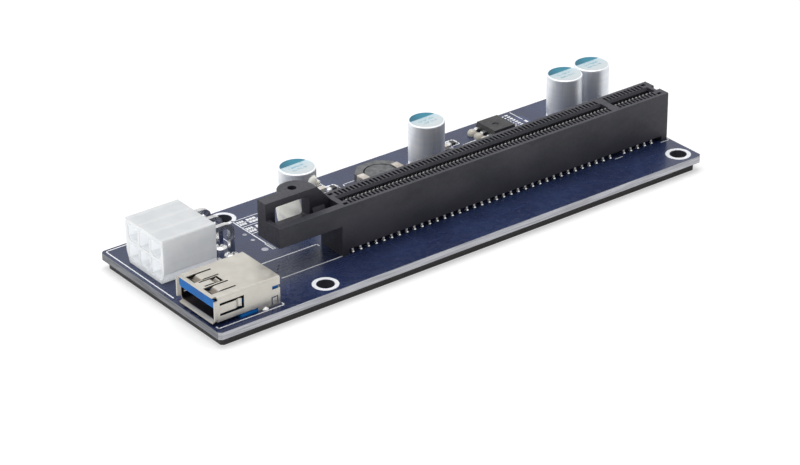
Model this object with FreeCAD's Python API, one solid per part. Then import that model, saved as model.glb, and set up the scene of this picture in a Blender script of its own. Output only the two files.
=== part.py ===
"""A powered riser card: a bare circuit board on a foam pad that carries a 16-lane card slot with a
retention arm, a USB 3.0 socket, a 6-way power header and a small step-down supply.

Shapes are drawn in board coordinates, in millimetres: x from the board's left end, y from its front
edge and z from its top face. They are moved into the part's own frame, whose origin is the middle of
the pad's underside, as they are written.
"""

import FreeCAD, Part
import math
import os

Vector = FreeCAD.Vector

# Board and pad
board_length = 127.5
board_width = 43.4
board_thickness = 1.6
board_corner = 0.6
pad_thickness = 2.0
pad_inset = 1.0

# Mounting holes, a rectangle of four M3 clearance holes
mount_diameter = 3.6
mount_x = 28.2
mount_y = 3.6
mount_spacing_x = 95.6
mount_spacing_y = 36.4
pad_hole_clearance = 0.3
pad_hole_sides = 12

# Card slot
slot_x = 37.9
slot_y = 14.55
slot_length = 89.0
slot_width = 7.6
slot_height = 11.25
slot_standoff = 1.2
slot_foot_length = 1.6
card_gap = 1.9
card_gap_floor = 3.4
card_gap_overrun = 1.3
rail_width = 0.45
rail_height = 1.0
lead_in_width = 0.4
lead_in_height = 0.6
end_recess = 0.9
key_thickness = 1.7

# Contacts of the card slot: two facing rows, numbered from the right
contact_pitch = 1.0
contacts_before_key = 11
contacts_after_key = 71
key_step = 3.0
contact_width = 0.46
contact_thickness = 0.24
cavity_width = 0.6
cavity_depth = 2.1
end_pocket_length = 1.1
end_pocket_depth = 1.8
end_pocket_width = 0.8
contact_tail_inset = 0.7
contact_bump_reach = 0.1
contact_bump_height = 8.6
contact_tip_height = 10.95
contact_tip_setback = 0.35

# Retention arm, a tongue of the slot's own moulding that stands clear of the board
arm_length = 15.6
arm_underside = 6.9
arm_trough_floor = 8.5
arm_end_wall = 1.0
arm_front_wall = 1.8
arm_rib_offset = 0.45
arm_rib = 1.1
tower_top = 15.0
tower_top_length = 12.8
tower_thickness = 2.85
window_offset = 2.3
window_length = 8.6
window_height = 5.1
window_corner = 0.6
thumb_radius = 4.0
thumb_thickness = 2.3
thumb_offset = 8.9
thumb_centre_inset = 1.05
thumb_hole_diameter = 1.9
thumb_hole_depth = 1.7
thumb_hole_shift = 0.3
hook_length = 3.0
hook_reach = 1.2
hook_height = 2.1

# USB socket
usb_x = 0.6
usb_y = 9.15
usb_length = 15.8
usb_width = 13.1
usb_bottom = 0.7
usb_top = 6.3
sheet = 0.3
usb_shell_round = 0.5
usb_flare = 0.35
usb_slight_flare = 0.12
usb_flare_length = 0.9
usb_lip_corner = 0.7
usb_spring_start = 1.4
usb_spring_length = 5.7
usb_top_spring_width = 2.8
usb_top_spring_spacing = 5.3
usb_side_spring_width = 1.9
usb_spring_slit = 0.4
usb_spring_tip_gap = 1.0
usb_spring_tip_reach = 0.8
usb_spring_dip = 0.6
usb_spring_clearance = 0.15
usb_floor_length = 9.2
usb_skirt_start = 10.4
usb_leg_start = 11.4
usb_leg_width = 1.6
usb_leg_clearance = 0.2
usb_latch_length = 1.6
usb_latch_height = 1.2
usb_latch_slit = 0.22
usb_latch_inset = 0.5
usb_latch_foot = 0.25
usb_notch_length = 1.9
usb_notch_height = 0.7
usb_notch_level = 3.05
usb_foot_start = 6.2
tongue_width = 11.9
tongue_thickness = 1.85
tongue_gap = 0.3
tongue_setback = 0.4
usb_contact_width = 0.6
usb_contact_height = 0.25
usb_contact_pitch = 2.3
usb_long_contacts = 4
usb_long_contact_setback = 4.6
usb_short_contacts = 5
usb_short_contact_setback = 1.4
usb_tail_inset = 2.2
usb_tail_row_step = 1.7

# Power header, 2 rows of 3
header_x = 2.3
header_y = 29.85
header_length = 12.8
header_width = 13.8
header_height = 10.0
header_columns = 3
header_pitch = 4.2
header_row_low = 2.9
header_cell = 3.5
header_cell_depth = 10.8
header_cell_clip = 0.8
header_chamfer = 1.0
header_chamfer_height = 2.5
header_pin = 1.07
header_pin_clearance = 0.1
header_pin_setback = 2.0
header_tail_low = 1.3
header_row_step = 4.1
header_pin_bend = 1.3
header_pin_bend_steps = 3
header_hole_diameter = 1.8
header_hole_sides = 8

# Capacitors
can_diameter = 8.0
can_height = 11.9
can_round = 0.4
seal_height = 0.4
seal_inset = 0.7
seal_sides = 12
lead_diameter = 0.6
lead_sides = 6
lead_pitch = 3.5
capacitor_places = [(41.0, 30.7), (76.0, 31.8), (114.7, 31.5), (122.9, 31.9)]

# Shielded inductor
inductor_x = 63.2
inductor_y = 31.3
inductor_size = 10.3
inductor_height = 3.9
inductor_corner = 2.6
inductor_bore = 7.5
inductor_flange = 6.9
inductor_flange_thickness = 0.8
inductor_neck = 3.6
inductor_neck_sides = 12
winding_diameter = 6.4
winding_clearance = 0.1
winding_sides = 16
terminal_width = 2.6
terminal_thickness = 0.25
terminal_reach = 1.5

# Voltage regulator in a flat three-lead package
regulator_x = 96.5
regulator_y = 36.9
regulator_length = 6.1
regulator_width = 6.6
regulator_height = 2.3
regulator_draft = 0.2
regulator_parting = 1.0
regulator_dimple = 1.5
regulator_dimple_sides = 20
regulator_dimple_depth = 0.15
regulator_dimple_x = 2.6
regulator_dimple_y = -0.4
regulator_lead_pitch = 2.28
regulator_lead_width = 0.9
regulator_lead_reach = 2.8
regulator_lead_thickness = 0.5
regulator_tab_width = 5.3
regulator_tab_reach = 1.5
regulator_tab_cover = 1.5

# Converter chip with gull-wing leads
chip_x = 88.0
chip_y = 28.6
chip_length = 4.9
chip_width = 3.9
chip_height = 1.5
chip_lead_pitch = 1.27
chip_leads_per_side = 4
chip_lead_width = 0.42
chip_lead_reach = 1.05
chip_lead_thickness = 0.2
chip_lead_level = 0.75
chip_mark_diameter = 0.7
chip_mark_inset = 0.8
chip_mark_depth = 0.1
chip_mark_sides = 12

# Diode
diode_x = 73.2
diode_y = 24.4
diode_length = 4.3
diode_width = 2.6
diode_height = 2.1
diode_terminal = 0.6

# Two-terminal chips, each a body between two plated ends
small_length = 2.0
small_width = 1.25
small_end = 0.4
resistor_height = 0.5
ceramic_height = 0.9
lamp_height = 1.1
resistor_places = [(54.6, 37.0), (88.2, 38.3), (92.2, 29.4)]
ceramic_places = [(52.0, 37.4), (85.6, 37.2), (81.9, 27.4), (69.9, 37.6)]
lamp_place = (52.4, 40.5)

# How far a cutting shape runs past the face it opens
overshoot = 1.0

board_underside = -board_thickness
slot_front = slot_y - slot_width / 2
slot_back = slot_y + slot_width / 2
slot_right = slot_x + slot_length
gap_front = slot_y - card_gap / 2
gap_back = slot_y + card_gap / 2


def box(x, y, z):
    """A block between the low and high value of each pair."""
    return Part.makeBox(x[1] - x[0], y[1] - y[0], z[1] - z[0], Vector(x[0], y[0], z[0]))


def disc(x, y, z, diameter):
    """An upright cylinder between the low and high value of z."""
    return Part.makeCylinder(diameter / 2, z[1] - z[0], Vector(x, y, z[0]))


def rod(x, y, z, diameter, sides):
    """An upright rod with flat sides, for holes and pieces too small or hidden to need a round one."""
    turns = [2 * math.pi * (index + 0.5) / sides for index in range(sides)]
    outline = [(x + diameter / 2 * math.cos(turn), y + diameter / 2 * math.sin(turn)) for turn in turns]
    return prism(outline, z[0], z[1], "z")


def edges_along(shape, axis):
    """The straight edges of a shape that lie along one axis."""
    along = {"x": Vector(1, 0, 0), "y": Vector(0, 1, 0), "z": Vector(0, 0, 1)}[axis]
    return [edge for edge in shape.Edges if abs(edge.tangentAt(edge.FirstParameter).dot(along)) > 0.99]


def prism(points, start, end, axis):
    """A closed outline drawn on the plane across an axis and carried along it from start to end."""
    if axis == "x":
        corners = [Vector(start, a, b) for a, b in points]
        run = Vector(end - start, 0, 0)
    elif axis == "y":
        corners = [Vector(a, start, b) for a, b in points]
        run = Vector(0, end - start, 0)
    else:
        corners = [Vector(a, b, start) for a, b in points]
        run = Vector(0, 0, end - start)
    return Part.Face(Part.makePolygon(corners + corners[:1])).extrude(run)


def strip(centre_line, thickness):
    """The outline of a bent strip whose middle follows the given points."""
    left = []
    right = []
    last = len(centre_line) - 1
    for index, (a, b) in enumerate(centre_line):
        before = centre_line[max(index - 1, 0)]
        after = centre_line[min(index + 1, last)]
        length = math.hypot(after[0] - before[0], after[1] - before[1])
        offset_a = -(after[1] - before[1]) / length * thickness / 2
        offset_b = (after[0] - before[0]) / length * thickness / 2
        if index in (0, last):
            offset_a, offset_b = square_end(centre_line, index, thickness)
        left.append((a + offset_a, b + offset_b))
        right.append((a - offset_a, b - offset_b))
    return left + right[::-1]


def square_end(centre_line, index, thickness):
    """The half-width of a strip at one of its ends, kept level so that a foot lies flat."""
    here = centre_line[index]
    neighbour = centre_line[1] if index == 0 else centre_line[-2]
    direction = 1 if index == 0 else -1
    run_a = (neighbour[0] - here[0]) * direction
    run_b = (neighbour[1] - here[1]) * direction
    if abs(run_b) >= abs(run_a):
        return (-thickness / 2 if run_b > 0 else thickness / 2), 0.0
    return 0.0, (thickness / 2 if run_a > 0 else -thickness / 2)


def write(name, shapes):
    """Moves a node's solids into the part's frame and writes them to one file."""
    move = Vector(-board_length / 2, -board_width / 2, board_thickness + pad_thickness)
    moved = [shape.copy() for shape in shapes]
    for shape in moved:
        shape.translate(move)
    whole = moved[0] if len(moved) == 1 else Part.makeCompound(moved)
    whole.exportStep("parts/" + name + ".step")


def mount_centres():
    """The four mounting holes."""
    for x in (mount_x, mount_x + mount_spacing_x):
        for y in (mount_y, mount_y + mount_spacing_y):
            yield x, y


def contact_places():
    """The middle of every contact along a row, from the slot's right end to its left."""
    first = slot_x + slot_length - card_end() - card_gap_overrun
    for number in range(contacts_before_key):
        yield first - number * contact_pitch
    past_key = first - (contacts_before_key - 1) * contact_pitch - key_step
    for number in range(contacts_after_key):
        yield past_key - number * contact_pitch


def card_end():
    """Solid length between either end of the slot and its card gap."""
    contact_run = (contacts_before_key + contacts_after_key - 2) * contact_pitch + key_step
    return (slot_length - contact_run - 2 * card_gap_overrun) / 2


def key_middle():
    """The middle of the key between the short and the long card gap."""
    places = list(contact_places())
    return (places[contacts_before_key - 1] + places[contacts_before_key]) / 2


# ---- Board and pad ----


def board_outline(inset, low, high):
    """A slab with the board's outline, drawn in by the inset, and its corners cut off."""
    slab = box((inset, board_length - inset), (inset, board_width - inset), (low, high))
    return slab.makeChamfer(board_corner, edges_along(slab, "z"))


def make_circuit_board():
    board = board_outline(0.0, board_underside, 0.0)
    through = (board_underside - overshoot, overshoot)
    holes = [disc(x, y, through, mount_diameter) for x, y in mount_centres()]
    for x, y, _ in header_pins():
        holes.append(rod(x, y, through, header_hole_diameter, header_hole_sides))
    for x, y in usb_legs():
        holes.append(box(grow(x, usb_leg_clearance), grow(y, usb_leg_clearance), through))
    return board.cut(Part.makeCompound(holes))


def grow(pair, clearance):
    """A low and high value moved apart by a clearance at each end."""
    return pair[0] - clearance, pair[1] + clearance


def make_foam_pad():
    top = board_underside
    pad = board_outline(pad_inset, top - pad_thickness, top)
    through = (top - pad_thickness - overshoot, top + overshoot)
    diameter = mount_diameter + 2 * pad_hole_clearance
    holes = [rod(x, y, through, diameter, pad_hole_sides) for x, y in mount_centres()]
    return pad.cut(Part.makeCompound(holes))


# ---- Card slot ----


def slot_body():
    """The long block on its two feet, with the recess that marks its right end."""
    body = box((slot_x, slot_right), (slot_front, slot_back), (slot_standoff, slot_height))
    feet_x = [(slot_x, slot_x + slot_foot_length), (slot_right - slot_foot_length, slot_right)]
    feet = [box(x, (slot_front, slot_back), (0.0, slot_standoff)) for x in feet_x]
    body = body.fuse(feet)
    notch_x = (slot_right - end_recess, slot_right + overshoot)
    notch = box(notch_x, (gap_front, gap_back), (card_gap_floor, slot_height + overshoot))
    return body.cut(notch)


def card_gap_spans():
    """The long and the short gap along the slot, either side of the key."""
    left = slot_x + card_end()
    right = slot_right - card_end()
    return [(left, key_middle() - key_thickness / 2), (key_middle() + key_thickness / 2, right)]


def card_gaps():
    """The two gaps that take the card's edge."""
    upright = (card_gap_floor, slot_height + overshoot)
    return [box(span, (gap_front, gap_back), upright) for span in card_gap_spans()]


def contact_cavities():
    """One upright cavity for each contact, open to the top and the underside.

    Below the rail that guards the contacts' tips, it is open to the card gap too.
    """
    low = slot_standoff - overshoot
    under_rail = slot_height - rail_height
    high = slot_height + overshoot
    inner = card_gap / 2
    outer = inner + cavity_depth
    rail = inner + rail_width
    cavities = []
    for side in (-1, 1):
        section = [(inner, low), (outer, low), (outer, high)]
        section += [(rail, high), (rail, under_rail), (inner, under_rail)]
        outline = [(slot_y + side * distance, level) for distance, level in section]
        for x in contact_places():
            cavities.append(prism(outline, x - cavity_width / 2, x + cavity_width / 2, "x"))
    return cavities


def lead_ins():
    """The slopes along both edges of the card gap that guide the card in."""
    slopes = []
    for side in (-1, 1):
        edge = slot_y + side * card_gap / 2
        outline = [
            (edge, slot_height - lead_in_height),
            (edge, slot_height),
            (edge + side * lead_in_width, slot_height),
        ]
        for start, end in card_gap_spans():
            slopes.append(prism(outline, start, end, "x"))
    return slopes


def end_pockets():
    """A wider pocket past the last contact at each end of both rows."""
    pockets = []
    left = slot_x + card_end() - end_pocket_length / 2
    right = slot_right - card_end() - end_pocket_length / 2
    upright = (slot_height - end_pocket_depth, slot_height + overshoot)
    front = gap_front - cavity_depth
    back = gap_back + cavity_depth
    for x in (left, right):
        across = (x, x + end_pocket_length)
        pockets.append(box(across, (front, front + end_pocket_width), upright))
        pockets.append(box(across, (back - end_pocket_width, back), upright))
    return pockets


def tower_profile():
    """The tower's outline from the front: upright left end, flat top and a ramp down to the slot."""
    left = slot_x - arm_length
    top_right = left + tower_top_length
    rib_left = slot_x + arm_rib_offset
    return [
        (left, arm_underside),
        (left, tower_top),
        (top_right, tower_top),
        (rib_left, slot_height),
        (rib_left, arm_underside),
    ]


def rounded_window():
    """The window through the tower, with rounded corners."""
    left = slot_x - arm_length + window_offset
    low = arm_trough_floor
    tower_front = slot_back - tower_thickness
    through = (tower_front - overshoot, slot_back + overshoot)
    opening = box((left, left + window_length), through, (low, low + window_height))
    return opening.makeFillet(window_corner, edges_along(opening, "y"))


def retention_hook():
    """The wedge on the tower that snaps over the heel of a card."""
    tower_front = slot_back - tower_thickness
    right = slot_x - arm_rib
    top = arm_trough_floor + hook_height
    outline = [
        (tower_front, arm_trough_floor),
        (tower_front - hook_reach, arm_trough_floor),
        (tower_front, top),
    ]
    return prism(outline, right - hook_length, right, "x")


def retention_arm():
    """The arm: a troughed tongue, the tower behind it and the thumb pad on the tower."""
    left = slot_x - arm_length
    rib_left = slot_x + arm_rib_offset
    tongue = box((left, rib_left), (slot_front, slot_back), (arm_underside, slot_height))
    tower_front = slot_back - tower_thickness
    tower = prism(tower_profile(), tower_front, slot_back, "y")
    thumb_x = left + thumb_offset
    thumb_z = (tower_top - thumb_thickness, tower_top)
    thumb = disc(thumb_x, slot_back - thumb_centre_inset, thumb_z, thumb_radius * 2)
    thumb = thumb.common(box((left, slot_x), (tower_front, slot_back + thumb_radius), (0, tower_top)))
    arm = tongue.fuse([tower, thumb])
    trough_x = (left + arm_end_wall, rib_left)
    trough = box(trough_x, trough_width(), (arm_trough_floor, slot_height + overshoot))
    hole_z = (tower_top - thumb_hole_depth, tower_top + overshoot)
    hole = disc(thumb_x - thumb_hole_shift, slot_back, hole_z, thumb_hole_diameter)
    return arm.cut([trough, rounded_window(), hole]).fuse(retention_hook())


def trough_width():
    """The trough across the board, between the arm's front wall and the tower."""
    return slot_front + arm_front_wall, slot_back - tower_thickness


def make_slot_housing():
    body = slot_body().fuse(retention_arm()).removeSplitter()
    trough_end = (slot_x - overshoot, slot_x + arm_rib_offset)
    trough = box(trough_end, trough_width(), (arm_trough_floor, slot_height + overshoot))
    openings = card_gaps() + contact_cavities() + end_pockets() + [trough]
    return body.cut(Part.makeCompound(openings)).cut(lead_ins()).removeSplitter()


def contact_outline(tail_distance):
    """One contact from the side: a straight beam from its tail to the bump that meets the card.

    Distances are measured from the slot's middle, and the tail's distance sets its row of holes.
    """
    bump = card_gap / 2 - contact_bump_reach
    tip = card_gap / 2 + rail_width + contact_tip_setback
    return [
        (tail_distance - contact_thickness / 2, 0.0),
        (tail_distance + contact_thickness / 2, 0.0),
        (bump + contact_thickness, contact_bump_height),
        (tip, contact_tip_height),
        (bump, contact_bump_height),
    ]


def make_slot_contacts(side):
    """A row of contacts on the front (-1) or the back (1) of the slot; their tails alternate."""
    outer = slot_width / 2 - contact_tail_inset
    inner = card_gap / 2 + contact_thickness
    contacts = []
    for index, x in enumerate(contact_places()):
        tail = outer if index % 2 else inner
        outline = [(slot_y + side * a, b) for a, b in contact_outline(tail)]
        contacts.append(prism(outline, x - contact_width / 2, x + contact_width / 2, "x"))
    return contacts


# ---- USB socket ----


def usb_sides():
    """The outer faces of the shell across the board."""
    return usb_y - usb_width / 2, usb_y + usb_width / 2


def usb_legs():
    """The two shell legs in plan, as pairs along x and y."""
    low, high = usb_sides()
    x_low = usb_x + usb_leg_start
    x = (x_low, x_low + usb_leg_width)
    return [(x, (low, low + sheet)), (x, (high - sheet, high))]


def usb_flared_mouth():
    """The four lips that splay out round the mouth, each cut free of the next at the corners."""
    low, high = usb_sides()
    front = usb_x
    back = usb_x + usb_flare_length
    across = (low + usb_lip_corner, high - usb_lip_corner)
    upright = (usb_bottom + usb_lip_corner, usb_top - usb_lip_corner)
    lips = []
    for outer, away, flare, axis, span in (
        (usb_top, 1, usb_slight_flare, "y", across),
        (usb_bottom, -1, usb_flare, "y", across),
        (high, 1, usb_flare, "z", upright),
        (low, -1, usb_slight_flare, "z", upright),
    ):
        inner = outer - away * sheet
        reach = away * flare
        outline = [(back, outer), (back, inner), (front, inner + reach), (front, outer + reach)]
        lips.append(prism(outline, span[0], span[1], axis))
    return lips


def usb_top_springs():
    """The two springs in the top, as pairs across the board."""
    half = usb_top_spring_width / 2
    for side in (-1, 1):
        middle = usb_y + side * usb_top_spring_spacing / 2
        yield middle - half, middle + half


def usb_slits_on_top():
    """The U-shaped slits that free the top springs, with their tips towards the mouth."""
    slits = []
    x = (usb_x + usb_spring_start, usb_x + usb_spring_start + usb_spring_length)
    tip = (x[0], x[0] + usb_spring_tip_gap)
    z = (usb_top - sheet * 2, usb_top + overshoot)
    for low, high in usb_top_springs():
        slits.append(box(x, (low - usb_spring_slit, low), z))
        slits.append(box(x, (high, high + usb_spring_slit), z))
        slits.append(box(tip, (low, high), z))
    return slits


def usb_spring_tips():
    """The ends of the top springs, which dip into the socket to press on the plug."""
    root = usb_x + usb_spring_start + usb_spring_tip_gap
    end = root - usb_spring_tip_reach
    outline = [
        (root, usb_top),
        (root, usb_top - sheet),
        (end, usb_top - sheet - usb_spring_dip),
        (end, usb_top - usb_spring_dip),
    ]
    return [prism(outline, low, high, "y") for low, high in usb_top_springs()]


def usb_spring_pockets():
    """Room in the top of the tongue for the tips of the springs."""
    root = usb_x + usb_spring_start + usb_spring_tip_gap
    x = grow((root - usb_spring_tip_reach, root), usb_spring_clearance)
    floor = usb_top - sheet - usb_spring_dip - usb_spring_clearance
    return [box(x, grow(y, usb_spring_clearance), (floor, usb_top)) for y in usb_top_springs()]


def usb_slits_on_sides():
    """In each side a U-shaped slit, the outline of a latch, and a notch in the rear edge."""
    slits = []
    low, high = usb_sides()
    for y in ((low - overshoot, low + sheet * 2), (high - sheet * 2, high + overshoot)):
        slits += usb_side_spring(y) + usb_side_latch(y)
        end = usb_x + usb_length
        level = usb_bottom + usb_notch_level
        slits.append(box((end - usb_notch_length, end + overshoot), y, (level, level + usb_notch_height)))
    return slits


def usb_side_spring(y):
    """The three cuts of a side spring, whose tip points to the rear."""
    x = (usb_x + usb_spring_start, usb_x + usb_spring_start + usb_spring_length)
    middle = (usb_bottom + usb_top) / 2
    half = usb_side_spring_width / 2
    cut = usb_spring_slit
    return [
        box(x, y, (middle - half - cut, middle - half)),
        box(x, y, (middle + half, middle + half + cut)),
        box((x[1] - cut, x[1]), y, (middle - half, middle + half)),
    ]


def usb_side_latch(y):
    """The three cuts of the small latch near the rear, which stays joined at its foot."""
    right = usb_x + usb_length - usb_latch_inset
    left = right - usb_latch_length
    high = usb_bottom + usb_latch_height
    cut = usb_latch_slit
    return [
        box((left, left + cut), y, (usb_latch_foot, high)),
        box((right - cut, right), y, (usb_latch_foot, high)),
        box((left, right), y, (high, high + cut)),
    ]


def make_usb_shell():
    """The folded sheet: a tube with a flared mouth, a closed back, an open rear floor and two legs."""
    low, high = usb_sides()
    front = usb_x + usb_flare_length
    back = usb_x + usb_length
    inner = (low + sheet, high - sheet)
    tube = box((front, back), (low, high), (usb_bottom, usb_top))
    tube = tube.makeChamfer(usb_shell_round / 2, edges_along(tube, "x"))
    hollow = box((front - overshoot, back - sheet), inner, (usb_bottom + sheet, usb_top - sheet))
    floor_x = (usb_x + usb_floor_length, back - sheet)
    rear_floor = box(floor_x, inner, (usb_bottom - overshoot, usb_bottom + overshoot))
    shell = tube.cut([hollow, rear_floor])
    skirts = []
    for y in ((low, low + sheet), (high - sheet, high)):
        skirts.append(box((usb_x + usb_skirt_start, back), y, (0.0, usb_bottom + sheet * 2)))
    legs = [box(x, y, (board_underside, usb_bottom + sheet * 2)) for x, y in usb_legs()]
    shell = shell.fuse(usb_flared_mouth() + skirts + legs)
    shell = shell.cut(usb_slits_on_top() + usb_slits_on_sides())
    return shell.fuse(usb_spring_tips()).removeSplitter()


def tongue_levels():
    """The underside and the top of the tongue."""
    top = usb_top - sheet - tongue_gap
    return top - tongue_thickness, top


def make_usb_insulator():
    """The block at the back of the socket, its tongue, and the foot that stands on the board."""
    low, high = usb_sides()
    block_front = usb_x + usb_floor_length
    block_x = (block_front, usb_x + usb_length - sheet)
    block = box(block_x, (low + sheet, high - sheet), (0.0, usb_top - sheet))
    tongue_y = (usb_y - tongue_width / 2, usb_y + tongue_width / 2)
    tongue = box((usb_x + tongue_setback, block_front), tongue_y, tongue_levels())
    foot = box((usb_x + usb_foot_start, usb_x + usb_skirt_start), (low, high), (0.0, usb_bottom))
    slots = [usb_contact(*place, usb_contact_height) for place in usb_contact_places()]
    return block.fuse([tongue, foot]).cut(slots + usb_spring_pockets()).removeSplitter()


def usb_contact_places():
    """Each contact as its middle across the socket, its front end and the place of its tail."""
    tail = usb_x + usb_floor_length + usb_tail_inset
    rows = [
        (usb_long_contacts, usb_long_contact_setback, tail),
        (usb_short_contacts, usb_short_contact_setback, tail + usb_tail_row_step),
    ]
    for count, setback, row_tail in rows:
        for index in range(count):
            middle = usb_y + (index - (count - 1) / 2) * usb_contact_pitch
            yield middle, usb_x + tongue_setback + setback, row_tail


def usb_contact(middle, front, tail, height):
    """A flat strip under the tongue that turns down to the board inside the block."""
    level = tongue_levels()[0]
    outline = [
        (front, level),
        (front, level + height),
        (tail + height, level + height),
        (tail + height, 0.0),
        (tail, 0.0),
        (tail, level),
    ]
    half = usb_contact_width / 2
    return prism(outline, middle - half, middle + half, "y")


def make_usb_contacts():
    return [usb_contact(*place, usb_contact_height) for place in usb_contact_places()]


# ---- Power header ----


def header_levels():
    """The middle of the lower and the upper row of pins."""
    return header_row_low, header_row_low + header_pitch


def header_middles():
    """The middle of each column of pins across the board."""
    first = header_y - (header_columns - 1) / 2 * header_pitch
    return [first + index * header_pitch for index in range(header_columns)]


def header_pins():
    """Each pin as the place of its tail, its column and the level of its row."""
    back = header_x + header_length
    for row, level in enumerate(header_levels()):
        for y in header_middles():
            yield back + header_tail_low + row * header_row_step, y, level


def header_cell_outline(y, level, clipped):
    """The mouth of one cell; a keyed cell has its two lower corners clipped."""
    half = header_cell / 2
    clip = header_cell_clip
    upper = [(y + half, level + half), (y - half, level + half)]
    if not clipped:
        return [(y - half, level - half), (y + half, level - half)] + upper
    lower = [
        (y - half, level - half + clip),
        (y - half + clip, level - half),
        (y + half - clip, level - half),
        (y + half, level - half + clip),
    ]
    return lower + upper


def make_power_housing():
    """The shroud: six deep cells, every other one keyed, and square holes for the pins."""
    low = header_y - header_width / 2
    high = header_y + header_width / 2
    back = header_x + header_length
    outline = [
        (low + header_chamfer, 0.0),
        (high - header_chamfer, 0.0),
        (high, header_chamfer_height),
        (high, header_height),
        (low, header_height),
        (low, header_chamfer_height),
    ]
    shroud = prism(outline, header_x, back, "x")
    cuts = []
    half = header_pin / 2 + header_pin_clearance
    for row, level in enumerate(header_levels()):
        for column, y in enumerate(header_middles()):
            cell = header_cell_outline(y, level, (row + column) % 2 == 1)
            cuts.append(prism(cell, header_x - overshoot, header_x + header_cell_depth, "x"))
            pin_y = (y - half, y + half)
            pin_z = (level - half, level + half)
            cuts.append(box((header_x, back + overshoot), pin_y, pin_z))
    return shroud.cut(cuts)


def make_power_pin(tail, y, level):
    """A square pin that runs back out of the housing and turns down through the board."""
    half = header_pin / 2
    centre_x = tail - header_pin_bend
    centre_z = level - header_pin_bend
    outer = []
    inner = []
    for step in range(header_pin_bend_steps + 1):
        turn = math.pi / 2 * step / header_pin_bend_steps
        for side, radius in ((outer, header_pin_bend + half), (inner, header_pin_bend - half)):
            side.append((centre_x + radius * math.sin(turn), centre_z + radius * math.cos(turn)))
    start = header_x + header_pin_setback
    outline = [(start, level - half), (start, level + half)] + outer
    outline += [(tail + half, board_underside), (tail - half, board_underside)] + inner[::-1]
    return prism(outline, y - half, y + half, "y")


# ---- Step-down supply ----


def make_capacitor_can(x, y):
    """A drawn can with an eased top edge, which stands on its seal."""
    radius = can_diameter / 2
    profile = [
        Vector(0, 0, can_height),
        Vector(0, 0, seal_height),
        Vector(radius, 0, seal_height),
        Vector(radius, 0, can_height - can_round),
        Vector(radius - can_round, 0, can_height),
    ]
    can = Part.Face(Part.makePolygon(profile + profile[:1])).revolve(Vector(0, 0, 0), Vector(0, 0, 1), 360)
    can.translate(Vector(x, y, 0))
    return can


def make_capacitor_seal(x, y):
    """The rubber bung that shows under the can."""
    bung = rod(x, y, (0.0, seal_height), can_diameter - 2 * seal_inset, seal_sides)
    return bung.cut(Part.makeCompound(lead_pair(x, y)))


def lead_pair(x, y):
    """The two wires of a capacitor where they pass the bung."""
    places = (x - lead_pitch / 2, x + lead_pitch / 2)
    return [rod(place, y, (0.0, seal_height), lead_diameter, lead_sides) for place in places]


def make_inductor_shield():
    """The eight-sided ferrite ring round the coil."""
    half = inductor_size / 2
    inner = half - inductor_corner
    turns = [(half, inner), (inner, half), (-inner, half), (-half, inner)]
    corners = turns + [(-a, -b) for a, b in turns]
    outline = [(inductor_x + a, inductor_y + b) for a, b in corners]
    ring = prism(outline, terminal_thickness, inductor_height - terminal_thickness, "z")
    return ring.cut(disc(inductor_x, inductor_y, (-overshoot, inductor_height + overshoot), inductor_bore))


def make_inductor_core():
    """The drum: two flanges on a neck."""
    low = terminal_thickness
    high = inductor_height - terminal_thickness
    flange = inductor_flange_thickness
    neck = rod(inductor_x, inductor_y, (low, high), inductor_neck, inductor_neck_sides)
    lower = disc(inductor_x, inductor_y, (low, low + flange), inductor_flange)
    upper = disc(inductor_x, inductor_y, (high - flange, high), inductor_flange)
    return neck.fuse([lower, upper]).removeSplitter()


def make_inductor_winding():
    """The coil between the drum's flanges."""
    flange = inductor_flange_thickness
    low = terminal_thickness + flange
    high = inductor_height - terminal_thickness - flange
    coil = rod(inductor_x, inductor_y, (low, high), winding_diameter, winding_sides)
    hole = inductor_neck + winding_clearance * 2
    through = (low - overshoot, high + overshoot)
    return coil.cut(rod(inductor_x, inductor_y, through, hole, inductor_neck_sides))


def make_inductor_terminal(side):
    """A clip at the left (-1) or right (1) that folds under and over the ring."""
    outer = inductor_size / 2 + terminal_thickness
    inner = inductor_size / 2
    reach = inductor_size / 2 - terminal_reach
    top = inductor_height
    wrap = terminal_thickness
    outline = [
        (reach, 0.0),
        (outer, 0.0),
        (outer, top),
        (reach, top),
        (reach, top - wrap),
        (inner, top - wrap),
        (inner, wrap),
        (reach, wrap),
    ]
    placed = [(inductor_x + side * a, b) for a, b in outline]
    return prism(placed, inductor_y - terminal_width / 2, inductor_y + terminal_width / 2, "y")


def make_regulator_body():
    """The moulded block with drafted sides and the round dimple of its mould."""
    low = regulator_y - regulator_width / 2
    high = regulator_y + regulator_width / 2
    draft = regulator_draft
    right = regulator_x + regulator_length
    wires = []
    for z, inset in ((0.0, draft), (regulator_parting, 0.0), (regulator_height, draft)):
        corners = [
            Vector(regulator_x + inset, low + inset, z),
            Vector(right - inset, low + inset, z),
            Vector(right - inset, high - inset, z),
            Vector(regulator_x + inset, high - inset, z),
        ]
        wires.append(Part.makePolygon(corners + corners[:1]))
    body = Part.makeLoft(wires, True, True)
    z = (regulator_height - regulator_dimple_depth, regulator_height + overshoot)
    x = regulator_x + regulator_dimple_x
    y = regulator_y + regulator_dimple_y
    dimple = rod(x, y, z, regulator_dimple, regulator_dimple_sides)
    return body.cut([dimple, regulator_tab_block()])


def regulator_tab_block():
    """The metal tab, which lies on the board and reaches under the block."""
    right = regulator_x + regulator_length
    half = regulator_tab_width / 2
    y = (regulator_y - half, regulator_y + half)
    x = (right - regulator_tab_cover, right + regulator_tab_reach)
    return box(x, y, (0.0, regulator_lead_thickness))


def gull_wing(inner, reach, level, thickness, direction):
    """The outline of a lead that leaves a package at a level and steps down to a flat foot."""
    half = thickness / 2
    centre_line = [
        (inner, level),
        (inner + direction * reach * 0.3, level),
        (inner + direction * reach * 0.5, half),
        (inner + direction * reach, half),
    ]
    return strip(centre_line, thickness)


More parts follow.
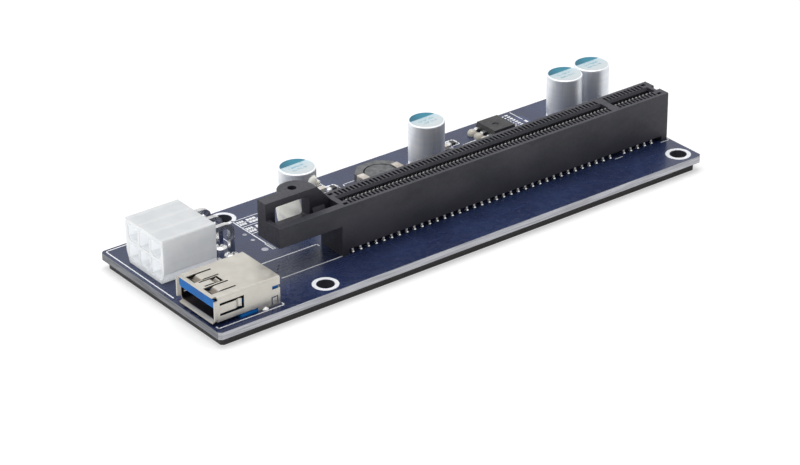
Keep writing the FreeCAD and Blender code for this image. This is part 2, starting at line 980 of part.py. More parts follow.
def make_regulator_leads():
    leads = []
    outline = gull_wing(regulator_x, regulator_lead_reach, regulator_parting, regulator_lead_thickness, -1)
    for step in (-1, 0, 1):
        y = regulator_y + step * regulator_lead_pitch
        half = regulator_lead_width / 2
        leads.append(prism(outline, y - half, y + half, "y"))
    return leads


def make_converter_chip():
    x = (chip_x - chip_length / 2, chip_x + chip_length / 2)
    y = (chip_y - chip_width / 2, chip_y + chip_width / 2)
    body = box(x, y, (chip_lead_thickness / 2, chip_height))
    mark_z = (chip_height - chip_mark_depth, chip_height + overshoot)
    mark = (x[0] + chip_mark_inset, y[0] + chip_mark_inset)
    return body.cut(rod(*mark, mark_z, chip_mark_diameter, chip_mark_sides))


def make_converter_leads():
    leads = []
    for side in (-1, 1):
        edge = chip_y + side * chip_width / 2
        outline = gull_wing(edge, chip_lead_reach, chip_lead_level, chip_lead_thickness, side)
        for index in range(chip_leads_per_side):
            x = chip_x + (index - (chip_leads_per_side - 1) / 2) * chip_lead_pitch
            half = chip_lead_width / 2
            leads.append(prism(outline, x - half, x + half, "x"))
    return leads


def two_terminal(x, y, length, width, height, end):
    """A chip's body and its two plated ends."""
    across = (y - width / 2, y + width / 2)
    left = x - length / 2
    right = x + length / 2
    body = box((left + end, right - end), across, (0.0, height))
    ends = [box(x, across, (0.0, height)) for x in ((left, left + end), (right - end, right))]
    return body, ends


def small_chips(places, height):
    """The bodies and the plated ends of a group of like chips."""
    bodies = []
    ends = []
    for x, y in places:
        body, pair = two_terminal(x, y, small_length, small_width, height, small_end)
        bodies.append(body)
        ends += pair
    return bodies, ends


def main():
    os.makedirs("parts", exist_ok=True)
    write("foam_pad", [make_foam_pad()])
    write("circuit_board", [make_circuit_board()])
    write("slot_housing", [make_slot_housing()])
    write("slot_contacts_front", make_slot_contacts(-1))
    write("slot_contacts_rear", make_slot_contacts(1))
    write("usb_shell", [make_usb_shell()])
    write("usb_insulator", [make_usb_insulator()])
    write("usb_contacts", make_usb_contacts())
    write("power_housing", [make_power_housing()])
    pins = [make_power_pin(*pin) for pin in header_pins()]
    write("power_pins_lower", pins[:header_columns])
    write("power_pins_upper", pins[header_columns:])
    for number, (x, y) in enumerate(capacitor_places, 1):
        write("capacitor_can_" + str(number), [make_capacitor_can(x, y)])
    write("capacitor_seals", [make_capacitor_seal(x, y) for x, y in capacitor_places])
    write("capacitor_leads", [lead for x, y in capacitor_places for lead in lead_pair(x, y)])
    write("inductor_shield", [make_inductor_shield()])
    write("inductor_core", [make_inductor_core()])
    write("inductor_winding", [make_inductor_winding()])
    write("inductor_terminals", [make_inductor_terminal(side) for side in (-1, 1)])
    write("regulator_body", [make_regulator_body()])
    write("regulator_leads", make_regulator_leads())
    write("regulator_tab", [regulator_tab_block()])
    write("converter_chip", [make_converter_chip()])
    write("converter_leads", make_converter_leads())
    size = (diode_length, diode_width, diode_height)
    diode, diode_ends = two_terminal(diode_x, diode_y, *size, diode_terminal)
    write("diode_body", [diode])
    write("diode_terminals", diode_ends)
    resistors, resistor_ends = small_chips(resistor_places, resistor_height)
    ceramics, ceramic_ends = small_chips(ceramic_places, ceramic_height)
    lamp, lamp_ends = small_chips([lamp_place], lamp_height)
    write("chip_resistors", resistors)
    write("chip_capacitors", ceramics)
    write("chip_terminals", resistor_ends + ceramic_ends + lamp_ends)
    write("indicator_lamp", lamp)


main()
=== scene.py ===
"""The looks of a powered riser card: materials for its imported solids, and the thin work that lies on
them, such as print, tracks and solder. Small work is placed in board coordinates, in millimetres: x from
the board's left end, y from its front edge and z from its top face."""

import math
import random

import bmesh
import bpy
from mathutils import Matrix, Vector


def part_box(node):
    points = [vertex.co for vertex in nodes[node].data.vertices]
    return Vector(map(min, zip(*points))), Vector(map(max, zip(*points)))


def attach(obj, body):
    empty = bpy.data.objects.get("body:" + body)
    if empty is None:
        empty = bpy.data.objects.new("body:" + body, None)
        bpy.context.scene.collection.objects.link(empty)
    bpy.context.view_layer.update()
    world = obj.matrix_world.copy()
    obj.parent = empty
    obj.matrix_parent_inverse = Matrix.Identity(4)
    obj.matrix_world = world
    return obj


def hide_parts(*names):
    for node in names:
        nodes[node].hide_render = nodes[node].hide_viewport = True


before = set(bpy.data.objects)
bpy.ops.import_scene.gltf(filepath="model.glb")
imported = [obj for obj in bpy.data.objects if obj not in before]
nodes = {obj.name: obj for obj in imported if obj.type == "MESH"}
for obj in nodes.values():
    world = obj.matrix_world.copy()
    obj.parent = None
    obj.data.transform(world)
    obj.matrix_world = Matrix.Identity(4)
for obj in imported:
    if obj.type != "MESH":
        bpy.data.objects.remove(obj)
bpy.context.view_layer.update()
board_low, board_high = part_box("circuit_board")

MM = 0.001
# Where board coordinates start in the part's frame, and the shift in millimetres that leads there
BOARD_ORIGIN = (board_low[0], board_low[1], board_high[2])
BOARD_SHIFT = tuple(-value / MM for value in BOARD_ORIGIN)

# The screw holes, and the radii of the ring that is printed round each
MOUNT_X = (28.2, 123.8)
MOUNT_Y = (3.6, 40.0)
MOUNT_RING = (1.92, 2.8)

# Levels of the thin work above the board, and the widths of printed lines and of tracks
INK_LOW, INK_HIGH = 0.002, 0.03
TRACK_HIGH = 0.018
THIN, BOLD = 0.20, 0.28
NARROW_TRACK, WIDE_TRACK = 0.20, 0.22

# The slot's printed outline in front and behind, and the left end of the rules that lead to its arm
SLOT_RULE_FRONT, SLOT_RULE_BACK = 10.2, 19.0
ARM_RULE_LEFT = 22.8
# The label fields beside the arm, as left, front, right and back
LABELS = (
    (29.25, 34.8, 31.0, 36.8), (31.6, 34.8, 34.0, 36.8),
    (29.25, 31.2, 31.0, 33.4), (31.6, 31.2, 34.0, 33.4),
)
# The cans' printed outline as radii, and its arcs in degrees, which leave room for neighbours and the edge
CAN_RING = (4.75, 4.98)
CAN_ARCS = {1: ((-60, 120),), 2: ((0, 360),), 3: ((62, 298),), 4: ((28, 118), (242, 332))}

# Solder drops and the rim of a via, as radius and level
CONTACT_DROP = [(0.42, 0.0), (0.40, 0.04), (0.28, 0.12), (0.22, 0.28), (0.0, 0.31)]
PIN_DROP = [(1.5, 0.0), (1.46, 0.07), (1.0, 0.22), (0.72, 0.55), (0.5, 0.95), (0.0, 0.97)]
LEG_DROP = [(0.85, 0.0), (0.82, 0.06), (0.62, 0.2), (0.4, 0.42), (0.2, 0.60), (0.0, 0.62)]
LEAD_DROP = [(1.12, 0.0), (1.12, 0.30), (1.0, 0.72), (0.72, 1.08), (0.36, 1.24), (0.0, 1.28)]
CHIP_DROP = [(0.72, 0.0), (0.70, 0.10), (0.58, 0.30), (0.34, 0.44), (0.0, 0.47)]
CLIP_DROP = [(0.95, 0.0), (0.93, 0.25), (0.78, 0.70), (0.50, 1.02), (0.0, 1.16)]
VIA_RIM = [(0.12, 0.0), (0.34, 0.0), (0.34, 0.018), (0.26, 0.03), (0.20, 0.03), (0.12, 0.018)]

# The socket's sheet, its springs' thinner sheet, and the top springs' paths, as x and level from the top
SHELL_SHEET = 0.3
SPRING_SHEET = 0.22
OUTER_SPRING = [
    (7.5, -0.01), (4.2, -0.01), (3.7, -0.05), (3.15, -0.34),
    (2.75, -0.70), (2.5, -0.72), (2.2, -0.50), (1.95, -0.30),
]
MIDDLE_SPRING = [
    (2.1, -0.01), (4.3, -0.01), (4.7, -0.05), (5.1, -0.26),
    (5.35, -0.37), (5.55, -0.36), (5.85, -0.20), (6.1, -0.10),
]
# The side springs' path, as x and depth behind the insulator's face, and their low and high levels
SIDE_SPRING = [(1.8, 0.02), (5.4, 0.02), (5.9, 0.06), (6.35, 0.28), (6.6, 0.36), (6.85, 0.30), (7.2, 0.08)]
SIDE_SPRING_LEVELS = (2.62, 4.38)


# ---- Places ----


def place(x, y, z=0.0):
    """A point of the part's frame, in metres, from board coordinates."""
    return Vector([start + value * MM for start, value in zip(BOARD_ORIGIN, (x, y, z))])


def board_box(node):
    """A node's corners in board coordinates."""
    return [[(value - start) / MM for value, start in zip(corner, BOARD_ORIGIN)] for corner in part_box(node)]


def middle(node):
    """The middle of a node in plan, in board coordinates."""
    low, high = board_box(node)
    return (low[0] + high[0]) / 2, (low[1] + high[1]) / 2


def islands(node):
    """The middle in plan of each separate solid of a node, in board coordinates."""
    mesh = nodes[node].data
    parents = list(range(len(mesh.vertices)))

    def root(index):
        while parents[index] != index:
            parents[index] = parents[parents[index]]
            index = parents[index]
        return index

    spots = [tuple(round(value, 7) for value in vertex.co) for vertex in mesh.vertices]
    firsts = {}
    same = [firsts.setdefault(spot, index) for index, spot in enumerate(spots)]
    for polygon in mesh.polygons:
        first = root(same[polygon.vertices[0]])
        for index in polygon.vertices[1:]:
            parents[root(same[index])] = first
    groups = {}
    for vertex in mesh.vertices:
        groups.setdefault(root(same[vertex.index]), []).append(vertex.co)
    found = []
    for points in groups.values():
        low = [min(point[axis] for point in points) for axis in range(2)]
        high = [max(point[axis] for point in points) for axis in range(2)]
        found.append(tuple(((a + b) / 2 - start) / MM for a, b, start in zip(low, high, BOARD_ORIGIN)))
    return sorted(found)


def tails(node):
    """Where each contact of a row stands on the board, as x and y."""
    level = board_high[2] + 0.15 * MM
    least_step = 0.6 * MM
    feet = sorted((vertex.co.x, vertex.co.y) for vertex in nodes[node].data.vertices if vertex.co.z < level)
    groups = []
    for x, y in feet:
        if groups and x - groups[-1][0][0] < least_step:
            groups[-1].append((x, y))
        else:
            groups.append([(x, y)])
    places = []
    for group in groups:
        x, y = (sum(values) / len(group) for values in zip(*group))
        places.append(((x - board_low[0]) / MM, (y - board_low[1]) / MM))
    return places


def key_place():
    """How far along the board the slot's key stands: in the widest step of a row of contacts."""
    xs = sorted(x for x, _ in tails("slot_contacts_front"))
    return max((b - a, (a + b) / 2) for a, b in zip(xs, xs[1:]))[1]


# ---- Materials ----


class Graph:
    """Short ways to add nodes to a shader tree."""

    def __init__(self, tree):
        self.tree = tree

    def set(self, node, values):
        """Gives sockets, by name or number, a constant or a link."""
        for key, value in values.items():
            socket = node.inputs[key.replace("_", " ") if isinstance(key, str) else key]
            if isinstance(value, bpy.types.NodeSocket):
                self.tree.links.new(value, socket)
            else:
                socket.default_value = value

    def node(self, kind, values=None, **properties):
        made = self.tree.nodes.new("ShaderNode" + kind)
        for key, value in properties.items():
            setattr(made, key, value)
        self.set(made, values or {})
        return made

    def math(self, operation, first, second=0.0, third=0.0):
        return self.node("Math", {0: first, 1: second, 2: third}, operation=operation).outputs[0]

    def ramp(self, value, low, high, start=0.0, end=1.0):
        """The value carried smoothly from the range low..high to start..end, and held there."""
        values = {"Value": value, "From Min": low, "From Max": high, "To Min": start, "To Max": end}
        return self.node("MapRange", values, interpolation_type="SMOOTHSTEP").outputs["Result"]

    def choose(self, factor, first, second):
        """The first value where the factor is nought, and the second where it is one."""
        return self.node("Mix", {0: factor, 2: first, 3: second}, data_type="FLOAT").outputs[0]

    def blend(self, factor, first, second):
        """Two colours mixed by a factor."""
        first, second = ((*value, 1.0) if isinstance(value, tuple) else value for value in (first, second))
        return self.node("Mix", {0: factor, 6: first, 7: second}, data_type="RGBA").outputs[2]


class Surface(Graph):
    """A material with one principled shader, whose patterns are laid out in millimetres."""

    def __init__(self, name, **sockets):
        self.material = bpy.data.materials.new(name)
        self.material.use_nodes = True
        super().__init__(self.material.node_tree)
        self.shader = self.tree.nodes["Principled BSDF"]
        self.coordinates = None
        self.set(self.shader, sockets)

    def where(self, scale=(1, 1, 1), shift=(0, 0, 0)):
        """The place on the piece in millimetres, stretched and shifted."""
        if self.coordinates is None:
            self.coordinates = self.node("TexCoord").outputs["Object"]
        values = {"Vector": self.coordinates, "Scale": [value / MM for value in scale], "Location": shift}
        return self.node("Mapping", values, vector_type="POINT").outputs["Vector"]

    def noise(self, scale, detail=2.0, stretch=(1, 1, 1)):
        """Noise with about `scale` waves in a millimetre."""
        values = {"Vector": self.where(stretch), "Scale": scale, "Detail": detail}
        return self.node("TexNoise", values).outputs["Fac"]

    def uneven(self, scale, detail, low=0.0, high=1.0, stretch=(1, 1, 1)):
        """Noise whose middle part is carried to a range."""
        return self.ramp(self.noise(scale, detail, stretch), 0.3, 0.7, low, high)

    def cells(self, scale):
        """How far it is to the middle of the nearest cell, with about `scale` cells in a millimetre."""
        return self.node("TexVoronoi", {"Vector": self.where(), "Scale": scale}).outputs["Distance"]

    def waves(self, scale, direction, distortion=0.0):
        values = {"Vector": self.where(), "Scale": scale, "Distortion": distortion}
        return self.node("TexWave", values, bands_direction=direction).outputs["Fac"]

    def axis(self, name, shift=BOARD_SHIFT):
        """One of the place's coordinates in millimetres: a board coordinate, unless shifted otherwise."""
        return self.node("SeparateXYZ", {"Vector": self.where(shift=shift)}).outputs[name]

    def within(self, low, high, soft=0.02):
        """One inside a box of board coordinates, and nought outside it. None leaves a side open."""
        found = 1.0
        for name, start, end in zip("XYZ", low, high):
            value = self.axis(name)
            if start is not None:
                found = self.math("MULTIPLY", found, self.ramp(value, start - soft, start + soft))
            if end is not None:
                found = self.math("MULTIPLY", found, self.ramp(value, end - soft, end + soft, 1.0, 0.0))
        return found

    def nearest(self, name, values):
        """How far a board coordinate is from the nearest of two values."""
        here = self.axis(name)
        first, second = (self.math("ABSOLUTE", self.math("SUBTRACT", here, value)) for value in values)
        return self.math("MINIMUM", first, second)

    def facing(self, name):
        """One coordinate of the face's normal."""
        normal = self.node("NewGeometry").outputs["True Normal"]
        return self.node("SeparateXYZ", {"Vector": normal}).outputs[name]

    def turned_to(self, name, low=0.5, high=0.8):
        """One on faces that look either way along an axis, and nought on the others."""
        return self.ramp(self.math("ABSOLUTE", self.facing(name)), low, high)

    def finish(self, colour, roughness, height, bump, distance, rounding=0.0):
        """Joins colour, roughness, fine relief and softened edges to the shader."""
        relief = self.node("Bump", {"Height": height, "Strength": bump, "Distance": distance * MM})
        if rounding:
            soft = self.node("Bevel", {"Radius": rounding * MM}, samples=4)
            self.set(relief, {"Normal": soft.outputs["Normal"]})
        values = {"Base Color": colour, "Roughness": roughness, "Normal": relief.outputs["Normal"]}
        self.set(self.shader, values)
        return self.material


def board_surface():
    """Dark blue mask over a faint weave, with pale sheared long edges and darker milled ends."""
    s = Surface("board_mask", Specular_IOR_Level=0.5)
    mask = s.blend(s.ramp(s.noise(0.11, 3.0), 0.35, 0.7), (0.014, 0.023, 0.070), (0.022, 0.036, 0.098))
    cloth = s.math("ADD", s.waves(1.1, "X", 0.5), s.waves(1.1, "Y", 0.5))
    layered = s.uneven(2.2, 3.0, stretch=(0.05, 0.05, 1.8))
    milled = s.blend(layered, (0.12, 0.125, 0.14), (0.26, 0.27, 0.29))
    sheared = s.blend(layered, (0.42, 0.43, 0.47), (0.68, 0.69, 0.74))
    cut = s.blend(s.turned_to("Y"), milled, sheared)
    # Painted shade: the walls of the screw holes are coloured near black
    away_x, away_y = s.nearest("X", MOUNT_X), s.nearest("Y", MOUNT_Y)
    away = s.math("SQRT", s.math("MULTIPLY_ADD", away_x, away_x, s.math("MULTIPLY", away_y, away_y)))
    painted_shade_hole_wall = s.ramp(away, 2.2, 2.4, 1.0, 0.0)
    cut = s.blend(painted_shade_hole_wall, cut, (0.030, 0.034, 0.046))
    face = s.turned_to("Z", 0.4, 0.6)
    rough = s.math("ADD", s.uneven(0.6, 4.0, 0.22, 0.34), s.ramp(face, 0.0, 1.0, 0.4, 0.0))
    height = s.math("MULTIPLY_ADD", cloth, 0.2, s.noise(3.0))
    return s.finish(s.blend(face, cut, mask), rough, height, 0.06, 0.04, 0.08)


def slot_surface():
    """Satin dark moulding with a grained skin, flow marks and slightly polished corners."""
    s = Surface("slot_moulding", Specular_IOR_Level=0.42)
    flow = s.ramp(s.noise(0.16, 4.0, (0.5, 1, 1)), 0.3, 0.75)
    colour = s.blend(flow, (0.024, 0.025, 0.034), (0.044, 0.043, 0.056))
    grain = s.math("MULTIPLY_ADD", s.noise(9.0, 3.0), 0.6, s.noise(0.5, 2.0))
    return s.finish(colour, s.uneven(1.5, 5.0, 0.38, 0.56), grain, 0.10, 0.05, 0.10)


def plated_surface(name, pale, deep, rough, stretch=(1, 1, 1), rounding=0.05, bump=0.08, metallic=1.0):
    """Plated metal: slightly cloudy, with a drawn or barrel-tumbled grain. Rough is a range."""
    s = Surface(name, Metallic=metallic)
    colour = s.blend(s.uneven(0.5, 4.0), deep, pale)
    grain = s.noise(14.0, 2.0, stretch)
    return s.finish(colour, s.uneven(4.0, 4.0, *rough, stretch), grain, bump, 0.02, rounding)


def moulded_surface(name, pale, deep, rough, specular=0.5, rounding=0.08, grain=6.0, **sockets):
    """Moulded plastic with slow colour variation and a fine skin. Rough is a range."""
    s = Surface(name, Specular_IOR_Level=specular, **sockets)
    colour = s.blend(s.uneven(0.3, 4.0), deep, pale)
    return s.finish(colour, s.uneven(1.2, 4.0, *rough), s.noise(grain, 3.0), 0.10, 0.04, rounding)


def shell_surface(name, hollow):
    """Nickel-plated sheet with a warm cast and rolling marks, with painted shade in its hollow and where the
    springs dip.
    """
    s = Surface(name, Metallic=1.0)
    cloudy = s.noise(0.35, 4.0)
    colour = s.blend(s.ramp(cloudy, 0.2, 0.8), (0.55, 0.525, 0.475), (0.62, 0.60, 0.55))
    rolled = s.noise(6.0, 3.0, (0.15, 1.0, 1.0))
    rough = s.math("ADD", s.ramp(rolled, 0.3, 0.7, 0.32, 0.42), s.ramp(cloudy, 0.4, 0.8, 0.0, 0.06))
    if hollow:
        low, high = board_box("usb_shell")
        # Painted shade: the shell is coloured dark inside its hollow
        inside = s.within((low[0] + 0.15, low[1] + 0.39, 0.96), (high[0] - 0.25, high[1] - 0.62, 6.03))
        colour = s.blend(inside, colour, (0.15, 0.115, 0.10))
    else:
        # Painted shade: the springs are coloured darker where they dip into the socket
        painted_dip_shade = s.within((None, 3.6, None), (None, 14.6, 6.12), 0.10)
        colour = s.blend(s.math("MULTIPLY", painted_dip_shade, 0.8), colour, (0.16, 0.135, 0.11))
    return s.finish(colour, rough, rolled, 0.08, 0.02, 0.10)


def insulator_surface():
    """Blue moulding, with painted shade on the flanks and the top, which its shell covers."""
    s = Surface("blue_insulator", Specular_IOR_Level=0.15)
    blue = s.blend(s.uneven(0.3, 4.0), (0.004, 0.115, 0.40), (0.008, 0.175, 0.56))
    # Painted shade: the faces that the shell covers are coloured near black
    painted_shade_under_shell = s.math("MAXIMUM", s.turned_to("Y"), s.ramp(s.facing("Z"), 0.5, 0.8))
    painted_shade_under_shell = s.math("MULTIPLY", painted_shade_under_shell, s.within((1.2, None, 0.75), (14.2, None, None)))
    colour = s.blend(painted_shade_under_shell, blue, (0.020, 0.017, 0.018))
    return s.finish(colour, s.uneven(1.2, 4.0, 0.38, 0.52), s.noise(6.0, 3.0), 0.10, 0.04, 0.08)


def header_surface():
    """Milky nylon: it scatters light, and looks denser where the cells' walls stand behind its skin. Its
    sides are painted lighter than its top, and it has a painted glow.
    """
    s = Surface(
        "milky_nylon", IOR=1.52, Subsurface_Weight=0.35, Subsurface_Scale=0.002,
        Subsurface_Radius=(1.0, 1.0, 1.0), Emission_Color=(0.96, 0.98, 1.0, 1.0),
    )
    low, high = board_box("power_housing")
    pitch, skin = 4.2, 0.12
    first_wall = (low[1] + high[1]) / 2 + pitch / 2
    middle_wall = low[2] + 5.0
    from_upright = s.math("PINGPONG", s.math("SUBTRACT", s.axis("Y"), first_wall), pitch / 2)
    from_level = s.math("ABSOLUTE", s.math("SUBTRACT", s.axis("Z"), middle_wall))
    on_top = s.ramp(s.facing("Z"), 0.5, 0.9)
    upright = s.math("MULTIPLY", s.ramp(from_upright, 0.15, 0.75, 1.0, 0.0), on_top)
    on_side = s.math("SUBTRACT", 1.0, on_top)
    level = s.math("MULTIPLY", s.ramp(from_level, 0.15, 0.70, 1.0, 0.0), on_side)
    wall = s.math("MAXIMUM", upright, level)
    cloudy = s.uneven(0.35, 4.0)
    # Painted light: the sides are coloured lighter than the top, to stand in for light that comes through the
    # nylon
    painted_bright_side_milk = s.blend(cloudy, (0.66, 0.68, 0.695), (0.72, 0.735, 0.745))
    painted_dim_top_milk = s.blend(cloudy, (0.57, 0.59, 0.605), (0.62, 0.635, 0.65))
    milk = s.blend(on_top, painted_bright_side_milk, painted_dim_top_milk)
    colour = s.blend(s.math("MULTIPLY", wall, 0.22), milk, (0.78, 0.79, 0.80))
    # A painted glow stands in for the light that comes through the walls, fills the cells and leaves by the
    # sides
    inside = s.within((None, low[1] + skin, low[2] + skin), [value - skin for value in high])
    mouth = s.within((None, None, None), (low[0] + skin, None, None))
    cells = s.math("MULTIPLY", inside, s.math("SUBTRACT", 1.0, mouth))
    glow = s.math("ADD", s.math("MULTIPLY", cells, 0.19), s.ramp(on_top, 0.0, 1.0, 0.17, 0.0))
    s.set(s.shader, {"Emission Strength": glow})
    return s.finish(colour, s.uneven(1.0, 4.0, 0.30, 0.42), s.noise(2.5, 3.0), 0.12, 0.04, 0.25)


def foam_surface():
    """Closed-cell foam, pitted with small cells."""
    s = Surface("cell_foam", Specular_IOR_Level=0.2, Sheen_Weight=0.15)
    holes = s.ramp(s.cells(3.2), 0.05, 0.35)
    colour = s.blend(holes, (0.018, 0.017, 0.018), (0.060, 0.057, 0.059))
    height = s.math("MULTIPLY_ADD", s.noise(5.0, 3.0), 0.5, holes)
    return s.finish(colour, s.uneven(2.0, 3.0, 0.80, 0.95), height, 0.6, 0.12)


def can_surface(node):
    """Drawn aluminium, whose lid has a coloured segment and a pale field with rows of broken marks."""
    s = Surface(node + "_metal", Metallic=1.0)
    low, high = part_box(node)
    centre = ((low[0] + high[0]) / 2, (low[1] + high[1]) / 2, high[2])
    aside, ahead, height = (s.axis(name, [-value / MM for value in centre]) for name in "XYZ")
    out = s.math("SQRT", s.math("ADD", s.math("MULTIPLY", aside, aside), s.math("MULTIPLY", ahead, ahead)))
    lid_edge = (high[0] - low[0]) / 2 / MM - 0.36
    lid = s.math("MULTIPLY", s.ramp(out, lid_edge, lid_edge + 0.08, 1.0, 0.0), s.ramp(height, -0.3, -0.2))
    # The print stands slightly askew on the lid
    skew = math.radians(2)
    along = s.math("MULTIPLY_ADD", ahead, math.cos(skew), s.math("MULTIPLY", aside, -math.sin(skew)))
    over = s.math("MULTIPLY_ADD", aside, math.cos(skew), s.math("MULTIPLY", ahead, math.sin(skew)))
    segment_edge = 1.40
    segment = s.math("MULTIPLY", lid, s.ramp(along, segment_edge, segment_edge + 0.12))
    rows_start, half_row = 10.35, 0.62
    rows = s.ramp(s.math("PINGPONG", s.math("ADD", along, rows_start), half_row), 0.22, 0.34)
    broken = s.ramp(s.noise(1.9, 1.0, (1.0, 1.0, 0.0)), 0.44, 0.56)
    field_over = s.ramp(s.math("ABSOLUTE", over), 1.9, 2.1, 1.0, 0.0)
    field_along = s.ramp(s.math("ABSOLUTE", along), 1.25, segment_edge, 1.0, 0.0)
    field = s.math("MULTIPLY", s.math("MULTIPLY", field_over, field_along), lid)
    marks = s.math("MULTIPLY", s.math("MULTIPLY", rows, broken), field)
    drawn = s.noise(3.0, 4.0, (1.0, 1.0, 0.06))
    ringed = s.noise(1.4, 3.0, (0.05, 0.05, 1.0))
    bare = s.blend(s.ramp(s.math("ADD", drawn, ringed), 0.7, 1.3), (0.84, 0.88, 0.94), (0.93, 0.95, 0.98))
    pale = s.blend(s.ramp(along, -1.5, 1.5), (0.58, 0.63, 0.65), (0.50, 0.61, 0.66))
    marked = s.blend(s.math("MULTIPLY", marks, 0.75), s.blend(lid, bare, pale), (0.14, 0.36, 0.46))
    teal = s.blend(s.ramp(aside, -2.5, 1.0), (0.006, 0.120, 0.190), (0.016, 0.200, 0.290))
    colour = s.blend(segment, marked, teal)
    inked = s.math("MAXIMUM", segment, s.math("MULTIPLY", marks, 0.8))
    s.set(s.shader, {"Metallic": s.math("MULTIPLY", s.math("SUBTRACT", 1.0, inked), 0.65)})
    rough = s.math("ADD", s.ramp(drawn, 0.3, 0.7, 0.44, 0.52), s.math("MULTIPLY", lid, 0.06))
    return s.finish(colour, rough, s.math("ADD", drawn, s.math("MULTIPLY", ringed, 0.5)), 0.08, 0.03)


def ferrite_surface():
    """Fired ferrite, matt grey, with pits and soft edges."""
    s = Surface("fired_ferrite", Specular_IOR_Level=0.35)
    pits = s.ramp(s.cells(1.8), 0.02, 0.22)
    grey = s.blend(s.uneven(0.8, 5.0), (0.085, 0.088, 0.092), (0.15, 0.155, 0.16))
    colour = s.blend(pits, (0.05, 0.05, 0.052), grey)
    height = s.math("MULTIPLY_ADD", s.noise(6.0, 4.0), 0.4, pits)
    return s.finish(colour, s.uneven(2.0, 3.0, 0.45, 0.65), height, 0.25, 0.06, 0.15)


def ceramic_surface():
    """Fired chip ceramic, pale tan and slightly speckled."""
    s = Surface("chip_ceramic", Specular_IOR_Level=0.45)
    colour = s.blend(s.uneven(3.0, 4.0), (0.48, 0.42, 0.35), (0.66, 0.62, 0.56))
    return s.finish(colour, s.uneven(5.0, 3.0, 0.40, 0.6), s.noise(10.0, 3.0), 0.15, 0.03, 0.06)


def ink_surface():
    """White screen ink: slightly uneven in cover, with a dry surface."""
    s = Surface("screen_ink", Specular_IOR_Level=0.3)
    colour = s.blend(s.ramp(s.noise(5.0, 4.0), 0.30, 0.62), (0.66, 0.68, 0.74), (0.88, 0.89, 0.91))
    return s.finish(colour, s.uneven(3.0, 3.0, 0.55, 0.75), s.noise(12.0, 3.0), 0.2, 0.02)


def track_surface():
    """Copper tracks under the mask, a shade paler than the board."""
    s = Surface("masked_copper", Specular_IOR_Level=0.5)
    colour = s.blend(s.uneven(0.4, 3.0), (0.022, 0.034, 0.105), (0.034, 0.050, 0.140))
    return s.finish(colour, s.uneven(1.0, 3.0, 0.22, 0.32), s.noise(4.0, 2.0), 0.08, 0.02)


def coil_surface():
    """Enamelled copper wire, wound in level turns."""
    s = Surface("enamelled_wire", Metallic=1.0)
    turns = s.waves(0.9, "Z")
    colour = s.blend(turns, (0.28, 0.10, 0.04), (0.62, 0.28, 0.12))
    return s.finish(colour, s.uneven(2.0, 2.0, 0.25, 0.4), turns, 0.8, 0.1)


def lamp_surface():
    """Clear resin over a pale yellow phosphor."""
    s = Surface(
        "lamp_resin", Specular_IOR_Level=0.5, Subsurface_Weight=0.3, Subsurface_Scale=0.0006, Coat_Weight=0.4
    )
    colour = s.blend(s.uneven(1.2, 2.0), (0.78, 0.70, 0.42), (0.90, 0.86, 0.66))
    return s.finish(colour, s.uneven(3.0, 2.0, 0.25, 0.4), s.noise(6.0, 2.0), 0.08, 0.03, 0.12)


def cover(mesh, material):
    """Makes a material the only one of a mesh."""
    mesh.materials.clear()
    mesh.materials.append(material)


def dress(material, *names):
    """Gives CAD nodes a material."""
    for name in names:
        cover(nodes[name].data, material)


# ---- Flat outlines ----


def polar(x, y, radius, degrees):
    """The point at a bearing and a distance from another."""
    turn = math.radians(degrees)
    return x + radius * math.cos(turn), y + radius * math.sin(turn)


def circle(x, y, radius, steps):
    """Points round a circle."""
    return [polar(x, y, radius, 360.0 * index / steps) for index in range(steps)]


def band(x, y, inner, outer, steps, start=0.0, end=360.0):
    """The quads of a flat ring, or of an arc of one."""
    quads = []
    for index in range(steps):
        a, b = (start + (end - start) * (index + step) / steps for step in (0, 1))
        quads.append([
            polar(x, y, inner, a), polar(x, y, outer, a), polar(x, y, outer, b), polar(x, y, inner, b),
        ])
    return quads


def rectangle(left, front, right, back):
    return [(left, front), (right, front), (right, back), (left, back)]


def stroke(points, width):
    """The outlines of a drawn line: one bar for each run, lengthened a little so that corners close."""
    bars = []
    for (ax, ay), (bx, by) in zip(points, points[1:]):
        length = math.hypot(bx - ax, by - ay)
        ux, uy = (bx - ax) / length * width / 2, (by - ay) / length * width / 2
        bars.append([
            (ax - ux - uy, ay - uy + ux), (ax - ux + uy, ay - uy - ux),
            (bx + ux + uy, by + uy - ux), (bx + ux - uy, by + uy + ux),
        ])
    return bars


def drawn_frame(low, high, margin):
    """The four thin bars of a rectangle, drawn round a box with a margin."""
    corners = rectangle(low[0] - margin[0], low[1] - margin[1], high[0] + margin[0], high[1] + margin[1])
    return stroke(corners + corners[:1], THIN)


# ---- Meshes ----


def bridge(work, rims):
    """Joins two like outlines of vertices into a closed solid."""
    work.faces.new(rims[0])
    work.faces.new(rims[1][::-1])
    for index in range(len(rims[0])):
        after = (index + 1) % len(rims[0])
        work.faces.new((rims[0][after], rims[0][index], rims[1][index], rims[1][after]))


def prism(work, outline, y):
    """A closed outline of x and z, carried across the board between two places."""
    bridge(work, [[work.verts.new(place(px, level, pz)) for px, pz in outline] for level in y])


def turned(work, x, y, profile, steps, closed=False):
    """A profile of radius and level turned about an upright axis, added to a mesh."""
    rings = []
    for radius, level in profile:
        points = circle(x, y, radius, steps) if radius > 0 else [(x, y)]
        rings.append([work.verts.new(place(px, py, level)) for px, py in points])
    pairs = list(zip(rings, rings[1:]))
    if closed:
        pairs.append((rings[-1], rings[0]))
    for one, two in pairs:
        for index in range(steps):
            after = (index + 1) % steps
            corners = []
            for ring, step in ((one, index), (one, after), (two, after), (two, index)):
                vertex = ring[step % len(ring)]
                if vertex not in corners:
                    corners.append(vertex)
            work.faces.new(corners)


def link(name, data):
    """A new object in the scene."""
    made = bpy.data.objects.new(name, data)
    bpy.context.scene.collection.objects.link(made)
    return made


